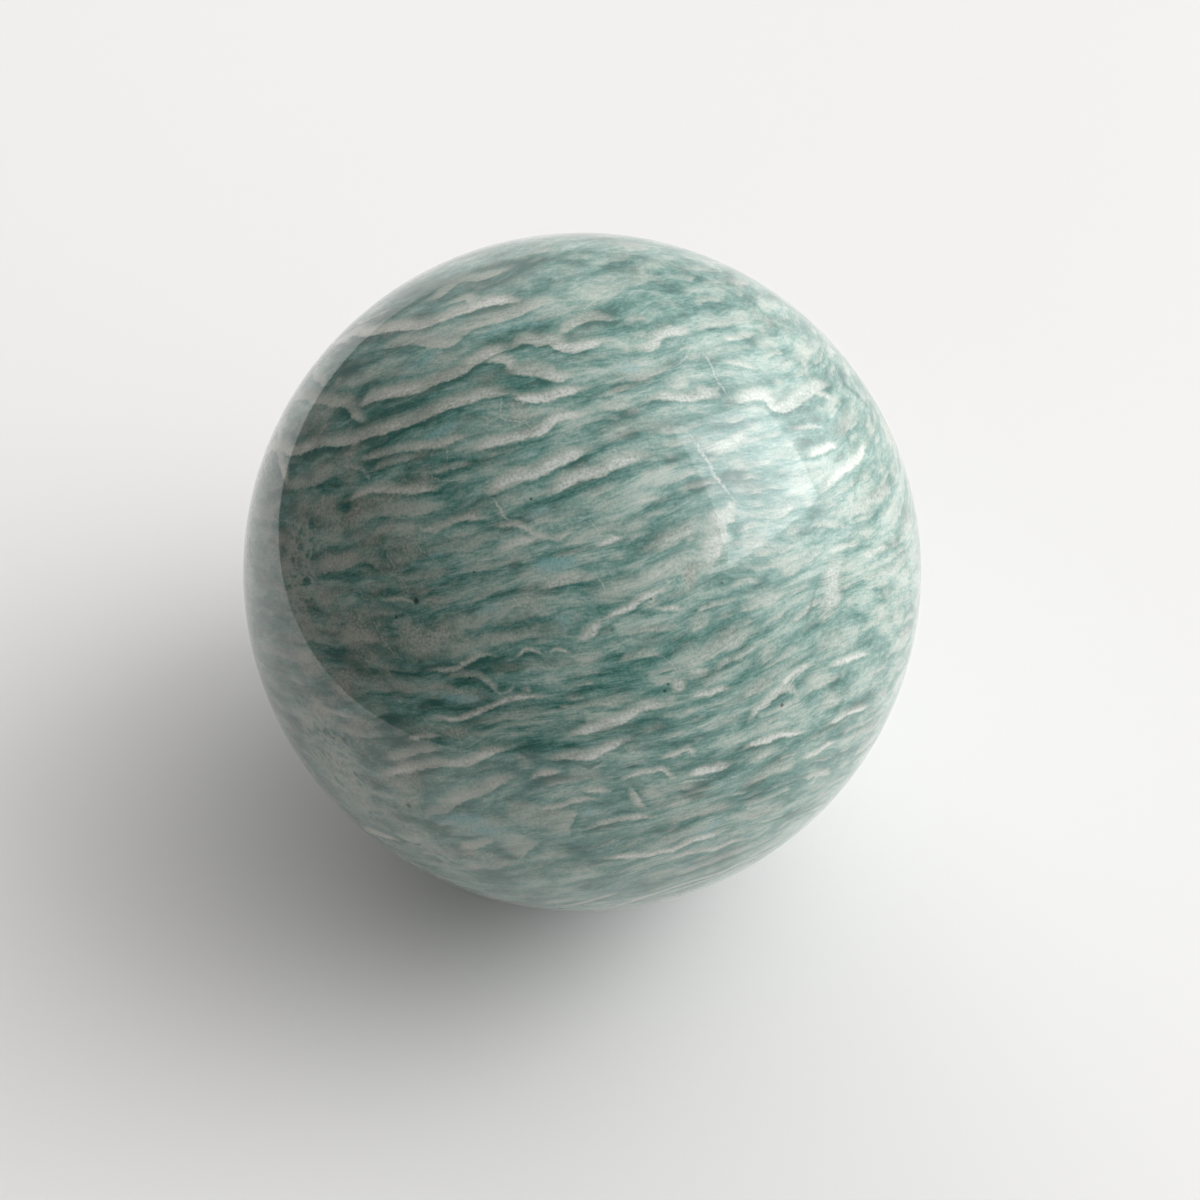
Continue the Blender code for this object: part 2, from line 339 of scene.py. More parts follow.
def make_camera():
    data = bpy.data.cameras.new("camera")
    data.sensor_width = SENSOR_WIDTH
    data.lens = PHOTO_FOCAL / PHOTO_SIZE * SENSOR_WIDTH
    data.clip_start = 0.005
    data.clip_end = 100
    camera = bpy.data.objects.new("camera", data)
    turn = Matrix((CAMERA_RIGHT, CAMERA_UP, -CAMERA_FORWARD)).transposed().to_4x4()
    camera.matrix_world = Matrix.Translation(CAMERA_PLACE) @ turn
    bpy.context.scene.collection.objects.link(camera)
    bpy.context.scene.camera = camera


# Building node materials

class Graph:
    """Short names for the shader nodes that the materials use."""

    def __init__(self, tree):
        self.tree = tree
        self.tree.nodes.clear()

    def node(self, kind, inputs, **settings):
        node = self.tree.nodes.new(kind)
        for name, value in settings.items():
            setattr(node, name, value)
        for name, value in inputs.items():
            self.feed(node.inputs[name], value)
        return node

    def feed(self, socket, value):
        if isinstance(value, bpy.types.NodeSocket):
            self.tree.links.new(value, socket)
        elif socket.type == "RGBA" and len(value) == 3:
            socket.default_value = (*value, 1.0)
        else:
            socket.default_value = value

    def math(self, operation, first, second=0.0, third=0.0):
        inputs = {0: first, 1: second}
        if operation == "MULTIPLY_ADD":
            inputs[2] = third
        return self.node("ShaderNodeMath", inputs, operation=operation).outputs[0]

    def add(self, first, second):
        return self.math("ADD", first, second)

    def times(self, first, second):
        return self.math("MULTIPLY", first, second)

    def vector(self, operation, first, second=(0, 0, 0)):
        node = self.node("ShaderNodeVectorMath", {0: first, 1: second}, operation=operation)
        return node.outputs["Value" if operation in ("DOT_PRODUCT", "DISTANCE") else "Vector"]

    def step(self, value, low, high, first=0.0, last=1.0):
        """A smooth rise or fall from first to last as the value goes from low to high."""
        inputs = {"Value": value, "From Min": low, "From Max": high, "To Min": first, "To Max": last}
        return self.node("ShaderNodeMapRange", inputs, interpolation_type="SMOOTHSTEP").outputs[0]

    def noise(self, vector, scale, detail=2.0, rough=0.5):
        """Soft noise about zero, between about minus a half and a half."""
        inputs = {"Vector": vector, "Scale": scale, "Detail": detail, "Roughness": rough}
        node = self.node("ShaderNodeTexNoise", inputs)
        return self.add(node.outputs["Fac"], -0.5)

    def stretched(self, vector, sizes):
        """The vector in units of the given sizes, for texture that is longer one way than another."""
        return self.vector("DIVIDE", vector, sizes)

    def split(self, vector):
        return self.node("ShaderNodeSeparateXYZ", {0: vector}).outputs

    def join(self, x, y, z):
        return self.node("ShaderNodeCombineXYZ", {0: x, 1: y, 2: z}).outputs[0]

    def mix(self, factor, first, second):
        node = self.node("ShaderNodeMix", {}, data_type="RGBA")
        self.feed(node.inputs["Factor"], factor)
        self.feed(node.inputs[6], first)
        self.feed(node.inputs[7], second)
        return node.outputs[2]

    def ramp(self, value, stops):
        node = self.node("ShaderNodeValToRGB", {"Fac": value})
        elements = node.color_ramp.elements
        while len(elements) < len(stops):
            elements.new(1.0)
        for element, (place, colour) in zip(elements, stops):
            element.position = place
            element.color = (*colour, 1.0)
        return node.outputs["Color"]

    def attribute(self, name):
        return self.node("ShaderNodeAttribute", {}, attribute_name=name).outputs


def flat_material(name, colour, roughness):
    material = bpy.data.materials.new(name)
    material.use_nodes = True
    shader = material.node_tree.nodes["Principled BSDF"]
    shader.inputs["Base Color"].default_value = (*colour, 1.0)
    shader.inputs["Roughness"].default_value = roughness
    shader.inputs["Specular IOR Level"].default_value = 0.3
    return material


def stage_object(name, points, material):
    mesh = bpy.data.meshes.new(name)
    mesh.from_pydata([tuple(point) for point in points], [], [(0, 1, 2, 3)])
    mesh.materials.append(material)
    thing = bpy.data.objects.new(name, mesh)
    bpy.context.scene.collection.objects.link(thing)
    return thing


# The floor, and the line that parts it, in metres and in ball radii
FLOOR_COLOUR = (0.82, 0.80, 0.785)
FLOOR_ROUGHNESS = 0.6
FLOOR_REACH = 12.0
FLOOR_EDGE_NEAR = (-4.2, -1.6)
FLOOR_EDGE_FAR = (-10.2, 14.0)


def make_floor():
    """One level pale floor in two parts, of which the polish mirrors only the bright right one."""
    near = Vector(FLOOR_EDGE_NEAR) * RADIUS
    slope = (Vector(FLOOR_EDGE_FAR) - Vector(FLOOR_EDGE_NEAR)).normalized()
    edge_low = near - slope * FLOOR_REACH
    edge_high = near + slope * FLOOR_REACH
    material = flat_material("pale floor", FLOOR_COLOUR, FLOOR_ROUGHNESS)
    right = [edge_low, (FLOOR_REACH, edge_low.y), (FLOOR_REACH, edge_high.y), edge_high]
    left = [(-FLOOR_REACH * 2, edge_low.y), edge_low, edge_high, (-FLOOR_REACH * 2, edge_high.y)]
    stage_object("floor", [(p[0], p[1], 0.0) for p in right], material)
    rest = stage_object("floor_left", [(p[0], p[1], 0.0) for p in left], material)
    rest.visible_glossy = False


# The window, by the pixels at which the ball mirrors its corners
WINDOW_CORNERS = {"right": (817, 498), "top": (762, 408), "left": (672, 430), "bottom": (728, 566)}
WINDOW_DISTANCE = 3.0
WINDOW_COLOUR = (0.93, 0.97, 1.0)
WINDOW_STRENGTH = 2.2


def make_window():
    """A soft box of light where the ball mirrors it, see-through and unseen by the camera itself."""
    points = [CENTRE + mirrored_at(corner) * WINDOW_DISTANCE for corner in WINDOW_CORNERS.values()]
    material = bpy.data.materials.new("window light")
    material.use_nodes = True
    graph = Graph(material.node_tree)
    glow = graph.node("ShaderNodeEmission", {"Color": WINDOW_COLOUR, "Strength": WINDOW_STRENGTH})
    clear = graph.node("ShaderNodeBsdfTransparent", {})
    both = graph.node("ShaderNodeAddShader", {0: glow.outputs[0], 1: clear.outputs[0]})
    graph.node("ShaderNodeOutputMaterial", {"Surface": both.outputs[0]})
    window = stage_object("window", points, material)
    window.visible_camera = False


# The light all round: a wide glow on the window's side, a lesser one behind the ball and dimness elsewhere.
# A glow has its turn and height in degrees, its tightness and strength, how much of it the polish mirrors
# and its colour
DIM_LIGHT = (0.03, 0.032, 0.034)
BACKDROP = (0.80, 0.80, 0.79)
GLOWS = {
    "window_side": (75, 28, 4.5, 4.1, 1.0, (0.99, 0.995, 1.0)),
    "back": (-15, 16, 12.0, 3.1, 0.2, (1.0, 0.99, 0.97)),
}


def make_world():
    world = bpy.data.worlds.new("soft light")
    bpy.context.scene.world = world
    world.use_nodes = True
    graph = Graph(world.node_tree)
    toward = graph.node("ShaderNodeTexCoord", {}).outputs["Generated"]
    paths = graph.node("ShaderNodeLightPath", {}).outputs
    light = DIM_LIGHT
    for turn, height, tightness, strength, mirrored, colour in GLOWS.values():
        level = math.cos(math.radians(height))
        middle = (level * math.sin(math.radians(turn)), level * math.cos(math.radians(turn)),
                  math.sin(math.radians(height)))
        nearness = graph.add(graph.vector("DOT_PRODUCT", toward, middle), -1.0)
        glow = graph.math("EXPONENT", graph.times(nearness, tightness))
        seen = graph.step(paths["Is Glossy Ray"], 0.0, 1.0, strength, strength * mirrored)
        scaled = graph.node("ShaderNodeVectorMath", {0: colour, "Scale": graph.times(glow, seen)},
                            operation="SCALE").outputs[0]
        light = graph.vector("ADD", light, scaled)
    shown = graph.mix(paths["Is Camera Ray"], light, BACKDROP)
    background = graph.node("ShaderNodeBackground", {"Color": shown})
    graph.node("ShaderNodeOutputWorld", {"Surface": background.outputs[0]})


# The ball's form, as a dense mesh

def rest_radius():
    """The flat spot's radius, from the lowest points of the ball's solid."""
    points = [v.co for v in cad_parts[STONE_NODE].data.vertices if v.co.z < NODE_LOW.z + 1e-5]
    return max(math.hypot(point.x, point.y) for point in points)


def ball_surface(directions):
    """Points and normals of the ball in the given directions, with its flat spot and soft edge."""
    flat = rest_radius()
    edge_angle = math.asin(flat / (RADIUS - REST_EDGE_RADIUS))
    points = directions * RADIUS
    points[:, 2] += CENTRE.z
    normals = directions.copy()
    polar = np.arccos(np.clip(-directions[:, 2], -1, 1))
    low = polar < edge_angle
    travel = polar[low] / edge_angle * (flat + REST_EDGE_RADIUS * edge_angle)
    bend = np.clip((travel - flat) / REST_EDGE_RADIUS, 0, None)
    reach = np.where(travel < flat, travel, flat + REST_EDGE_RADIUS * np.sin(bend))
    around = np.arctan2(directions[low, 1], directions[low, 0])
    points[low] = np.stack([reach * np.cos(around), reach * np.sin(around),
                            REST_EDGE_RADIUS * (1 - np.cos(bend))], axis=1)
    normals[low] = np.stack([np.sin(bend) * np.cos(around), np.sin(bend) * np.sin(around),
                             -np.cos(bend)], axis=1)
    return points, normals


def smooth(value, low, high):
    part = np.clip((value - low) / (high - low), 0, 1)
    return part * part * (3 - 2 * part)


def unit(vectors):
    return vectors / np.linalg.norm(vectors, axis=-1, keepdims=True)


# Noise on the mesh: a box of random values, which repeats only past the ball's size
LATTICE_SIDE = 48


def cloud(places, sizes, octaves, randoms):
    """Soft noise about zero at places in millimetres, with features of the given sizes."""
    total = np.zeros(len(places))
    scaled = places / np.array(sizes)
    strength = 1.0
    for _ in range(octaves):
        lattice = randoms.random((LATTICE_SIDE,) * 3)
        moved = scaled + randoms.random(3) * LATTICE_SIDE
        cell = np.floor(moved).astype(int)
        part = moved - cell
        part = part * part * (3 - 2 * part)
        value = 0.0
        for corner in np.ndindex(2, 2, 2):
            index = (cell + corner) % LATTICE_SIDE
            weight = np.prod(np.where(corner, part, 1 - part), axis=1)
            value = value + weight * lattice[index[:, 0], index[:, 1], index[:, 2]]
        total += (value - 0.5) * strength
        scaled = scaled * 2.03
        strength *= 0.5
    return total


class Path:
    """A smooth line over the unit ball through given directions, at a fine even step, in millimetres."""

    STEP_MM = 0.35

    def __init__(self, directions):
        corners = np.array([tuple(direction) for direction in directions])
        first = 2 * corners[0] - corners[1]
        last = 2 * corners[-1] - corners[-2]
        padded = np.vstack([first, corners, last])
        pieces = []
        for before, start, end, after in zip(padded, padded[1:], padded[2:], padded[3:]):
            length = np.linalg.norm(end - start) * RADIUS / MM
            count = max(2, math.ceil(length / self.STEP_MM))
            part = np.arange(count)[:, None] / count
            pieces.append(0.5 * (2 * start + (end - before) * part
                                 + (2 * before - 5 * start + 4 * end - after) * part ** 2
                                 + (3 * start - before - 3 * end + after) * part ** 3))
        self.points = unit(np.vstack(pieces + [corners[-1:]]))
        ahead = np.gradient(self.points, axis=0)
        self.forward = unit(ahead - self.points * np.sum(ahead * self.points, axis=1, keepdims=True))
        self.left = np.cross(self.points, self.forward)
        steps = np.linalg.norm(np.diff(self.points, axis=0), axis=1) * RADIUS / MM
        self.travel = np.concatenate([[0.0], np.cumsum(steps)])
        self.length = self.travel[-1]

    def measure(self, directions, reach):
        """Which directions lie within reach, how far to the left they are and how far along."""
        middle = unit(self.points.mean(axis=0))
        spread = np.arccos(np.clip(self.points @ middle, -1, 1)).max() + reach * MM / RADIUS
        near = np.nonzero(directions @ middle > math.cos(min(spread, math.pi)))[0]
        closest = np.argmax(directions[near] @ self.points.T, axis=1)
        offset = (directions[near] - self.points[closest]) * (RADIUS / MM)
        side = np.sum(offset * self.left[closest], axis=1)
        along = self.travel[closest] + np.sum(offset * self.forward[closest], axis=1)
        return near, side, along


# How the lamellae bend: a smooth height across them, level along every streak
GRAIN_CENTRES = 90
GRAIN_CENTRE_SPREAD = 0.10
GRAIN_STIFFNESS = 0.02


def spread_directions(count):
    """Directions spread evenly over a ball along a spiral."""
    place = np.arange(count) + 0.5
    height = 1 - 2 * place / count
    turn = math.pi * (1 + math.sqrt(5)) * place
    level = np.sqrt(1 - height ** 2)
    return np.stack([level * np.cos(turn), level * np.sin(turn), height], axis=1)


class Grain:
    """The height across the lamellae at any direction, bent so that it stays level along the streaks."""

    def __init__(self, paths):
        self.centres = spread_directions(GRAIN_CENTRES)
        self.across = np.array(GRAIN_ACROSS)
        starts = np.vstack([path.points[:-1:4] for path in paths])
        forward = np.vstack([path.forward[:-1:4] for path in paths])
        left = np.vstack([path.left[:-1:4] for path in paths])
        bends = np.vstack([self.bump_slopes(starts, forward), self.bump_slopes(starts, left)])
        wanted = np.concatenate([-forward @ self.across, np.zeros(len(starts))])
        pull = bends.T @ bends + GRAIN_STIFFNESS * len(starts) * np.eye(GRAIN_CENTRES)
        self.weights = np.linalg.solve(pull, bends.T @ wanted)

    def bumps(self, directions):
        return np.exp((directions @ self.centres.T - 1) / GRAIN_CENTRE_SPREAD)

    def bump_slopes(self, directions, moves):
        return self.bumps(directions) * (moves @ self.centres.T) / GRAIN_CENTRE_SPREAD

    def height(self, directions):
        return directions @ self.across + self.bumps(directions) @ self.weights

    def uphill(self, direction):
        pulls = self.bumps(direction[None])[0] * self.weights
        slope = self.across + pulls @ self.centres / GRAIN_CENTRE_SPREAD
        slope = slope - direction * (slope @ direction)
        return slope / max(np.linalg.norm(slope), 1e-6)


WANDER_STEP_MM = 1.6
WANDER_KEPT = 0.75


def wandering_path(grain, start, length, randoms, wander):
    """A line over the ball from the start, along the lamellae, bending a little at random."""
    point = start
    lean = 0.0
    points = [point]
    for _ in range(max(2, round(length / WANDER_STEP_MM))):
        lean = WANDER_KEPT * lean + randoms.normal(0, wander)
        uphill = grain.uphill(point)
        ahead = np.cross(uphill, point)
        move = ahead * math.cos(lean) + uphill * math.sin(lean)
        point = unit(point + move * (WANDER_STEP_MM * MM / RADIUS))
        points.append(point)
    return Path(points)


# The sides that the photograph doesn't show carry streaks, veins and patches of the same kinds
HIDDEN_STREAKS = 190
HIDDEN_STREAK_LENGTHS = (3.0, 30.0)
HIDDEN_STREAK_WIDTHS = (0.4, 1.7)
HIDDEN_HAIRS = 26
HIDDEN_HAIR_LENGTHS = (2.0, 9.0)
HIDDEN_HAIR_WIDTHS = (0.16, 0.34)
HIDDEN_PITS = 14
HIDDEN_PIT_RADII = (0.15, 0.4)
HIDDEN_VIEW_LIMIT = math.cos(math.radians(70))

# How many hidden patches of each kind there are, and half their usual length in millimetres
HIDDEN_NETS = (8, 6.0)
HIDDEN_DEEP = (60, 1.4)
HIDDEN_BLUE = (26, 2.6)
HIDDEN_PALE = (36, 1.4)
HIDDEN_TAN = (12, 3.4)


def hidden_start(randoms):
    """A direction, chosen at random, that the photograph doesn't show."""
    while True:
        point = unit(randoms.normal(size=3))
        if point @ np.array(TOWARD_CAMERA) < HIDDEN_VIEW_LIMIT:
            return point


def mark_width(pixel, width):
    """A width in pixels above a place in the photograph, in millimetres on the ball."""
    return (on_ball(pixel) - on_ball((pixel[0], pixel[1] - width))).length * RADIUS / MM


def named_marks(table):
    marks = []
    for width, pale, dark, pixels in table.values():
        middle = pixels[len(pixels) // 2]
        path = Path([on_ball(pixel) for pixel in pixels])
        marks.append((path, mark_width(middle, width), pale, dark))
    return marks


def hidden_streaks(grain, randoms):
    marks = []
    for _ in range(HIDDEN_STREAKS):
        length = float(np.clip(randoms.lognormal(2.4, 0.5), *HIDDEN_STREAK_LENGTHS))
        path = wandering_path(grain, hidden_start(randoms), length, randoms, 0.16)
        width = float(np.clip(randoms.normal(0.6 + length * 0.03, 0.25), *HIDDEN_STREAK_WIDTHS))
        marks.append((path, width, randoms.uniform(0.5, 1.05), randoms.uniform(0.2, 0.9)))
    return marks


def hidden_hairs(grain, randoms):
    marks = []
    for _ in range(HIDDEN_HAIRS):
        length = randoms.uniform(*HIDDEN_HAIR_LENGTHS)
        path = wandering_path(grain, hidden_start(randoms), length, randoms, 0.7)
        width = randoms.uniform(*HIDDEN_HAIR_WIDTHS)
        marks.append((path, width, randoms.uniform(0.4, 1.0), randoms.uniform(0.1, 0.4)))
    return marks


def closest_mm(points, others):
    """The least distance between two sets of directions, in millimetres on the ball."""
    return math.sqrt(max(2 - 2 * float((points @ others.T).max()), 0.0)) * RADIUS / MM


# Marks near each other go into separate layers
STREAK_LAYERS = 6
LAYER_MARGIN_MM = 1.9
NEIGHBOUR_MM = 24
ENDLESS_MM = 99.0


def sort_into_layers(marks, count):
    """Share marks out over layers so that those in one layer keep clear of each other."""
    layers = [[] for _ in range(count)]
    middles = [np.zeros((0, 3)) for _ in range(count)]
    for mark in marks:
        middle = mark[0].points[len(mark[0].points) // 2]
        best = 0
        best_room = -ENDLESS_MM
        for number, layer in enumerate(layers):
            room = ENDLESS_MM
            gaps = np.linalg.norm(middles[number] - middle, axis=1) * RADIUS / MM
            for index in np.nonzero(gaps < NEIGHBOUR_MM)[0]:
                other = layer[index]
                gap = closest_mm(mark[0].points[::2], other[0].points[::2])
                room = min(room, gap - 1.2 * max(mark[1], other[1]) - LAYER_MARGIN_MM)
            if room > best_room:
                best_room = room
                best = number
            if room > 0.0:
                break
        layers[best].append(mark)
        middles[best] = np.vstack([middles[best], middle])
    return layers


# How far a mark reaches past its edges, how it ends, and a distance at which no mark is near
MARK_REACH_MM = 3.0
DARK_REACH_MM = 1.1
END_TAPER_MM = 4.0
FAR_MM = 9.0


def draw_layer(directions, marks):
    """For each direction its height above the nearest mark's edge, that mark's width, pale and dark, and
    the distance to that mark."""
    count = len(directions)
    values = np.zeros((count, 4))
    values[:, 0] = -MARK_REACH_MM
    values[:, 1] = 1.0
    outside = np.full(count, FAR_MM)
    second = np.full(count, FAR_MM)
    for path, width, pale, dark in marks:
        near, side, along = path.measure(directions, width + MARK_REACH_MM)
        past = np.maximum(np.maximum(-along, along - path.length), 0)
        away = np.maximum(np.abs(side - width / 2) - width / 2, past)
        taper_length = min(END_TAPER_MM, path.length * 0.35)
        ends = smooth(np.minimum(along, path.length - along), -0.8, taper_length)
        slim = width * (0.3 + 0.7 * ends)
        top = slim * 1.7
        reach = 1 - smooth(side, top + 0.1, top + 0.8)
        reach *= smooth(side, -DARK_REACH_MM - 0.6, -DARK_REACH_MM)
        closer = away < outside[near]
        second[near] = np.where(closer, outside[near], np.minimum(second[near], away))
        kept = near[closer]
        outside[kept] = away[closer]
        strength = (reach * np.clip(ends * 1.3, 0, 1))[closer]
        above = np.clip(side[closer], -MARK_REACH_MM, MARK_REACH_MM)
        values[kept] = np.stack([above, slim[closer], pale * strength, dark * strength], axis=1)
    clear = smooth(second - outside, 0.0, 0.7)
    values[:, 2] *= clear
    values[:, 3] *= clear
    return values, outside


def draw_patches(directions, patches):
    """How far inside the nearest soft patch each direction is: one at its middle, below zero outside."""
    field = np.full(len(directions), -1.0)
    for middle, along, across, length, width, strength in patches:
        near = np.nonzero(directions @ middle > math.cos(3 * max(length, width) * MM / RADIUS))[0]
        offset = (directions[near] - middle) * (RADIUS / MM)
        far = np.hypot(offset @ along / length, offset @ across / width)
        field[near] = np.maximum(field[near], (1 - far) * strength)
    return field


def named_patches(table):
    patches = []
    for place, length, width, slope, strength in table.values():
        turn = math.radians(slope)
        middle = on_ball(place)
        tip = on_ball((place[0] + length * math.cos(turn), place[1] - length * math.sin(turn)))
        side = on_ball((place[0] - width * math.sin(turn), place[1] - width * math.cos(turn)))
        along = np.array((tip - middle).normalized())
        across = np.array((side - middle).normalized())
        patches.append((np.array(middle), along, across, (tip - middle).length * RADIUS / MM,
                        (side - middle).length * RADIUS / MM, strength))
    return patches


def hidden_patches(grain, randoms, count, size):
    patches = []
    for _ in range(count):
        middle = hidden_start(randoms)
        across = grain.uphill(middle)
        along = np.cross(across, middle)
        length = size * randoms.uniform(0.5, 1.6)
        patches.append((middle, along, across, length, length * randoms.uniform(0.3, 0.6),
                        randoms.uniform(0.6, 1.1)))
    return patches


def named_pits():
    """The places of the pits on the ball and their radii, in metres."""
    return [(CENTRE + on_ball(place) * RADIUS, mark_width(place, width) / 2 * MM)
            for place, width in PITS.values()]


def hidden_pits():
    randoms = np.random.default_rng(SEED + 1)
    return [(CENTRE + Vector(hidden_start(randoms)) * RADIUS, randoms.uniform(*HIDDEN_PIT_RADII) * MM)
            for _ in range(HIDDEN_PITS)]


def drawn_patches(directions, table, grain, randoms, hidden):
    return draw_patches(directions, named_patches(table) + hidden_patches(grain, randoms, *hidden))


# The middle, in pixels, of the window-lit side, where the grain is fine and whiter and the ground is
# painted paler as painted light, and how far round that reaches
FINE_AND_LIT_MIDDLE = (840, 560)
FINE_AND_LIT_REACH = 0.9


def fine_and_lit_region(directions):
    # Paler toward the window-lit side: partly the grain's own finer, whiter streaks, partly painted light
    # on the ground
    middle = np.array(on_ball(FINE_AND_LIT_MIDDLE))
    return smooth(directions @ middle, 1 - FINE_AND_LIT_REACH, 1.0)


def blown_up_cube():
    """A cube of small even squares blown up to a unit ball, as a mesh and its directions."""
    work = bmesh.new()
    bmesh.ops.create_cube(work, size=2.0)
    bmesh.ops.subdivide_edges(work, edges=work.edges[:], cuts=FACE_DIVISIONS - 1, use_grid_fill=True)
    mesh = bpy.data.meshes.new("polished_stone")
    work.to_mesh(mesh)
    work.free()
    corners = np.zeros(len(mesh.vertices) * 3, np.float32)
    mesh.vertices.foreach_get("co", corners)
    cube = np.tan(corners.reshape(-1, 3).astype(float) * (math.pi / 4))
    return mesh, unit(cube)


def store(mesh, name, kind, values):
    attribute = mesh.attributes.new(name, kind, "POINT")
    key = {"FLOAT_COLOR": "color", "FLOAT_VECTOR": "vector", "FLOAT": "value"}[kind]
    attribute.data.foreach_set(key, np.ascontiguousarray(values, dtype=np.float32).ravel())


def store_marks(mesh, directions, grain, streaks, randoms):
    """Draw every streak, hair and patch, the photograph's and the hidden sides' own."""
    streaks = streaks + hidden_streaks(grain, randoms)
    hairs = named_marks(HAIRS) + hidden_hairs(grain, randoms)
    gap = np.full(len(directions), FAR_MM)
    for number, marks in enumerate(sort_into_layers(streaks, STREAK_LAYERS)):
        values, outside = draw_layer(directions, marks)
        gap = np.minimum(gap, outside)
        store(mesh, f"streaks_{number}", "FLOAT_COLOR", values)
    store(mesh, "gap", "FLOAT", gap)
    store(mesh, "hairs", "FLOAT_COLOR", draw_layer(directions, hairs)[0])
    store(mesh, "net", "FLOAT", drawn_patches(directions, NET_PATCHES, grain, randoms, HIDDEN_NETS))
    patches = [
        drawn_patches(directions, DEEP_PATCHES, grain, randoms, HIDDEN_DEEP),
        drawn_patches(directions, BLUE_PATCHES, grain, randoms, HIDDEN_BLUE),
        drawn_patches(directions, PALE_PATCHES, grain, randoms, HIDDEN_PALE),
        drawn_patches(directions, TAN_PATCHES, grain, randoms, HIDDEN_TAN),
    ]
    store(mesh, "patches", "FLOAT_COLOR", np.stack(patches, axis=1))


# Soft noises along, across and through the lamellae: how far each bends them, and then its sizes
WIDE_BEND = (1.8, (16, 9, 16))
SMALL_BEND = (0.6, (5, 2.2, 4))
BODY_SIZES = (8, 2.6, 6)
QUICK_SIZES = (3.5, 1.6, 3)
BROAD_SIZES = (14, 10, 14)


def store_grain(mesh, directions, grain, randoms):
    """Give each point its place along, across and through the lamellae in millimetres, and its clouds."""
    place = np.stack([directions @ np.array(GRAIN_ALONG), grain.height(directions),
                      directions @ np.array(GRAIN_THROUGH)], axis=1) * (RADIUS / MM)
    bent = place.copy()
    for reach, sizes in (WIDE_BEND, SMALL_BEND):
        bent[:, 1] += reach * cloud(place, sizes, 2, randoms)
    store(mesh, "grain", "FLOAT_VECTOR", bent)
    # The fourth cloud marks the window-lit side, where the ground is also painted paler as painted light
    clouds = [cloud(bent, BODY_SIZES, 2, randoms), cloud(bent, QUICK_SIZES, 2, randoms),
              cloud(place, BROAD_SIZES, 2, randoms), fine_and_lit_region(directions)]
    store(mesh, "clouds", "FLOAT_COLOR", np.stack(clouds, axis=1))


def make_stone():
    mesh, directions = blown_up_cube()
    points, normals = ball_surface(directions)
    mesh.vertices.foreach_set("co", points.astype(np.float32).ravel())
    mesh.shade_smooth()
    mesh.update()
    mesh.normals_split_custom_set_from_vertices(normals.astype(np.float32))
    randoms = np.random.default_rng(SEED)
    streaks = named_marks(STREAKS)
    grain = Grain([mark[0] for mark in streaks])
    store_marks(mesh, directions, grain, streaks, randoms)
    store_grain(mesh, directions, grain, randoms)
    stone = bpy.data.objects.new("polished_stone", mesh)
    bpy.context.scene.collection.objects.link(stone)
    return stone


# The stone's colours, as bright as they would be in even white light
DEEP_TEAL = (0.030, 0.115, 0.094)
TEAL = (0.076, 0.200, 0.168)
SOFT_TEAL = (0.160, 0.290, 0.250)
LIGHT_TEAL = (0.30, 0.41, 0.36)
PALE_GREEN = (0.44, 0.51, 0.455)
BLUE_TEAL = (0.205, 0.405, 0.395)
GREY_TAN = (0.53, 0.52, 0.455)
WHITE_GREY = (0.64, 0.655, 0.61)
BROWN_GREY = (0.22, 0.225, 0.185)
# Painted shade for the pits, which the mesh doesn't hollow out
PIT_SHADE = (0.03, 0.032, 0.026)

# The ground between the streaks: its colours from deep to pale, and how much each texture adds
GROUND_RAMP = [(0.0, DEEP_TEAL), (0.25, TEAL), (0.5, SOFT_TEAL), (0.75, LIGHT_TEAL), (1.0, PALE_GREEN)]
GROUND_TONE = 0.22
# The fine share paints the ground paler toward the window-lit side: painted light
GROUND_SHARES = {"body": 0.3, "wide": 0.12, "strands": 2.1, "fibre": 0.75, "grains": 0.6, "fine": 0.29}
DARK_SHARE = -0.25
DEEP_SHARE = -0.5

# The textures' sizes along, across and through the lamellae, in millimetres
RAGGED_SIZES = (0.9, 0.5, 0.7)
FIBRE_SIZES = (1.1, 0.19, 0.8)
STRAND_SIZES = (6.5, 1.5, 5.0)
NET_SIZES = (1.9, 1.3, 1.6)
GRAINS_PER_MM = 3.6

# Thin lines between the streaks: their spacing, how far they bend and the sizes of the bends
WIDE_LINES = (2.4, 2.4, (6.0, 2.6, 5.0))
FINE_LINES = (1.1, 1.2, (3.2, 1.5, 2.6))
LINE_STRIDE = 7.3


class Textures:
    """The noises and the mesh's own fields that the stone's colour is made from."""

    def __init__(self, graph):
        self.place = graph.attribute("grain")["Vector"]
        clouds = graph.attribute("clouds")
        self.body, self.quick, self.wide = graph.split(clouds["Vector"])
        # fine is finer, whiter grain toward the window-lit side, and also painted light that pales the
        # ground there
        self.fine = clouds["Alpha"]
        ragged = graph.noise(graph.stretched(self.place, RAGGED_SIZES), 1.0, 3.0, 0.65)
        self.ragged = graph.times(ragged, 0.7)
        self.fibre = graph.noise(graph.stretched(self.place, FIBRE_SIZES), 1.0, 2.0, 0.6)
        self.strands = graph.noise(graph.stretched(self.place, STRAND_SIZES), 1.0, 3.0, 0.6)
        self.grains = graph.noise(self.place, GRAINS_PER_MM, 2.0, 0.7)
        self.patchy = graph.add(graph.times(self.quick, 0.9), graph.times(self.ragged, 0.9))


def ground_tone(graph, textures):
    """How pale the ground is, from deep at zero to pale at one."""
    tone = GROUND_TONE
    for name, share in GROUND_SHARES.items():
        tone = graph.math("MULTIPLY_ADD", getattr(textures, name), share, tone)
    return tone


